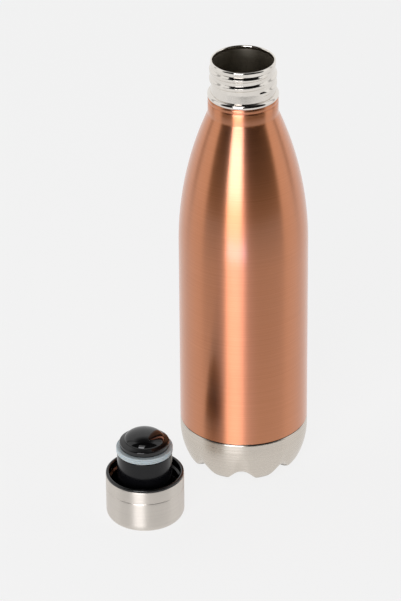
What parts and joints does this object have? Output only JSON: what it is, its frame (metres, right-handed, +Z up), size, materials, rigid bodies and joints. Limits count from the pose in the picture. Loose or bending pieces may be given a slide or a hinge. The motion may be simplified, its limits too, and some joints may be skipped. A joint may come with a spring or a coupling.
{
  "type": "vacuum water bottle",
  "caption": "Double-walled copper-coloured steel water bottle with a petal foot and a threaded mouth, open, its domed stopper cap standing upside down beside it.",
  "frame": {"origin": "middle of the footprint of bottle and cap together, on the surface that both stand on", "axes": "+Z up, along the bottle's and the cap's own axes; -Y is the side that the cap stands on, in front; +X is to the right of the bottle seen from the front"},
  "size_m": [0.1128, 0.1182, 0.2524],
  "materials": {
    "copper_body": "satin copper, fine circumferential brushing",
    "base_steel": "satin brushed steel",
    "disc_steel": "satin pressed steel",
    "solder_glass": "dark sealing bead",
    "inner_steel": "drawn steel",
    "inner_base_steel": "drawn steel",
    "getter_steel": "plain steel",
    "getter_sinter": "sintered grey",
    "neck_chrome": "mirror polish",
    "foam": "rigid foam",
    "insert_plastic": "natural plastic",
    "cap_steel": "satin brushed steel",
    "liner_plastic": "black, satin",
    "plug_plastic": "dark, satin",
    "dome_plastic": "black, glossy",
    "silicone": "pale translucent silicone"
  },
  "bodies": {
    "bottle": {"outer_shell": "copper_body", "outer_base": "base_steel", "base_disc": "disc_steel", "vacuum_bead": "solder_glass", "inner_vessel": "inner_steel", "inner_base": "inner_base_steel", "getter_pan": "getter_steel", "getter_pellet": "getter_sinter", "neck_finish": "neck_chrome"},
    "cap_core": {"foam_core": "foam", "insert_disc": "insert_plastic"},
    "cap": {"cap_shell": "cap_steel", "cap_liner": "liner_plastic", "stopper_plug": "plug_plastic", "stopper_dome": "dome_plastic", "seal_ring": "silicone"}
  },
  "joints": [
    {"name": "cap_lift", "type": "slide", "parent": "bottle", "child": "cap_core", "axis": [0, 0, 1], "range_m": [0, 0.26]},
    {"name": "cap_turn", "type": "hinge", "parent": "cap_core", "child": "cap", "pos_m": [-0.0346, -0.0373, 0], "axis": [0, 0, 1], "continuous": true}
  ]
}
